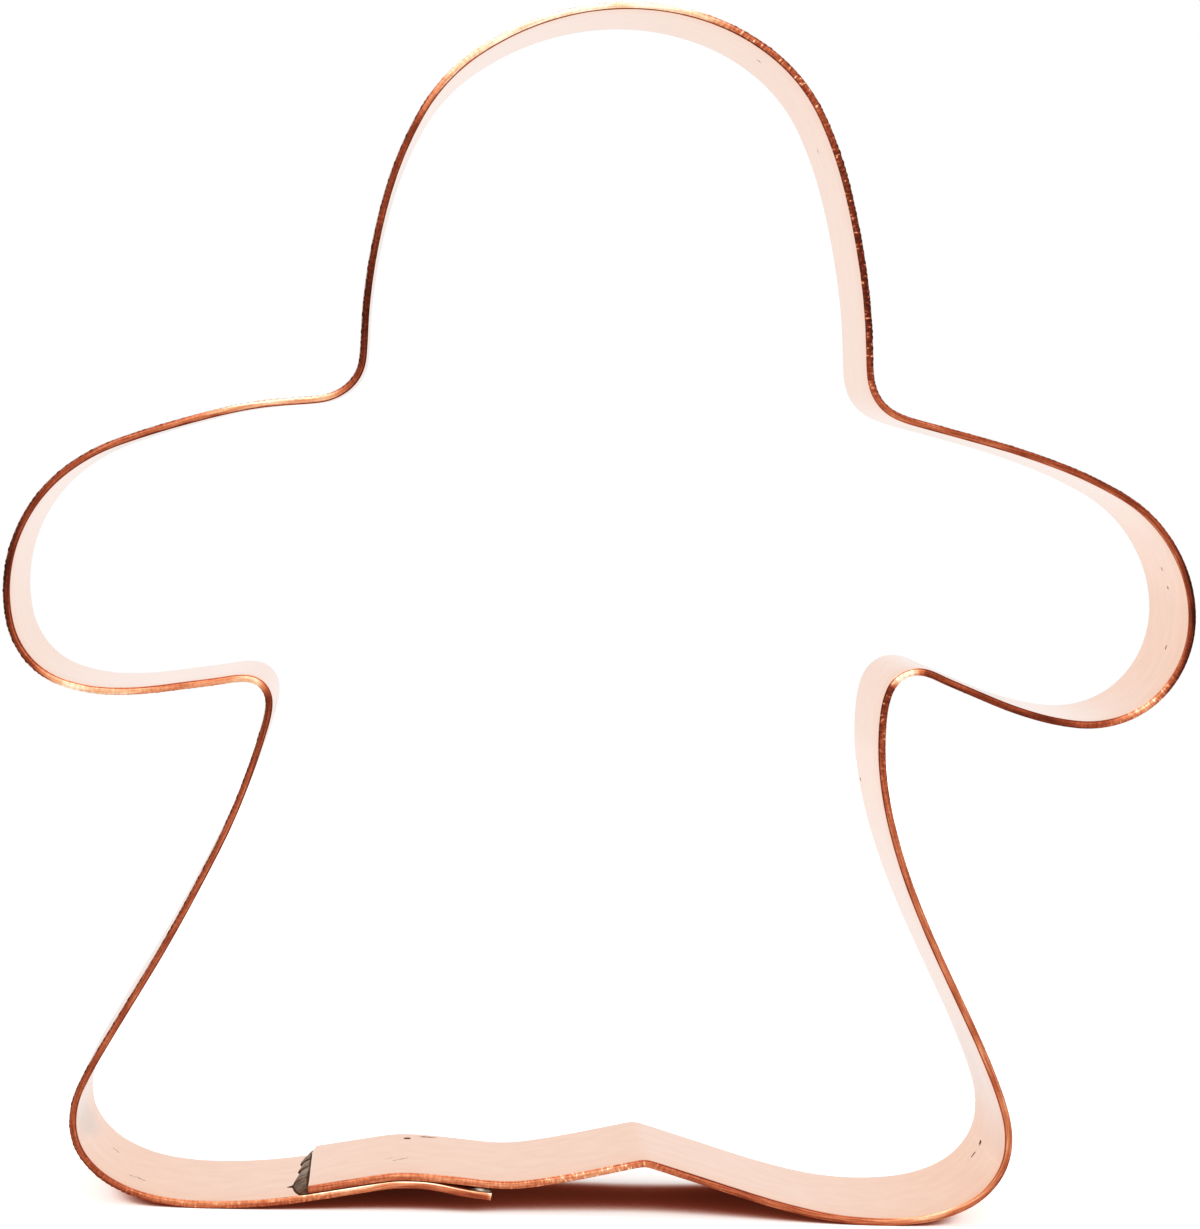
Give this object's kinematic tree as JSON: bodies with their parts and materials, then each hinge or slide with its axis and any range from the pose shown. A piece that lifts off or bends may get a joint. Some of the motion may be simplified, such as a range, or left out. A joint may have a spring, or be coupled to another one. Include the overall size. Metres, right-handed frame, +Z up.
{
  "type": "cookie cutter",
  "caption": "Gingerbread-figure cookie cutter bent from one thin copper strip, its ends lapped and soldered at the hem.",
  "frame": {"origin": "on the surface the figure stands on, under the middle of its width and of the strip's depth", "axes": "+X to the right of the figure as it is seen, +Y away from the viewer along the strip's depth, +Z up from the feet to the head"},
  "size_m": [0.127, 0.022, 0.1295],
  "materials": {
    "copper_strip": "satin",
    "solder": "matte"
  },
  "bodies": {
    "root": {"cutter_band": "copper_strip", "lap_solder": "solder", "seam_bead": "solder", "tail_bead": "solder"}
  },
  "joints": []
}
